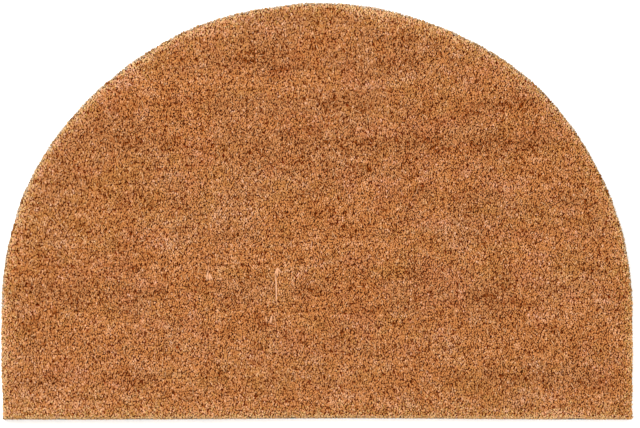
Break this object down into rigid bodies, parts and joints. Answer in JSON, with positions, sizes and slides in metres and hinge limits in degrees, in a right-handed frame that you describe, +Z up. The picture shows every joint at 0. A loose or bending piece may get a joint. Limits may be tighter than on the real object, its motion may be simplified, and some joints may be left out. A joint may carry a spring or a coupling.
{
  "type": "half round coir doormat",
  "caption": "Flat doormat with one straight edge and an arched back edge: a thick short pile of stiff coconut fibre set in a thin dark backing sheet.",
  "frame": {"origin": "on the floor, under the middle of the mat's width and depth", "axes": "+X along the straight edge, +Y from the straight edge to the top of the arch, +Z up out of the pile"},
  "size_m": [0.6, 0.398, 0.0168],
  "materials": {
    "backing_sheet": "matt dark olive grey flexible sheet with a fine moulded grain",
    "coir_pile": "dense cut pile of natural coconut fibre, undyed golden brown, with darker roots and soft crosswise bands"
  },
  "bodies": {
    "root": {"backing": "backing_sheet", "pile": "coir_pile"}
  },
  "joints": []
}
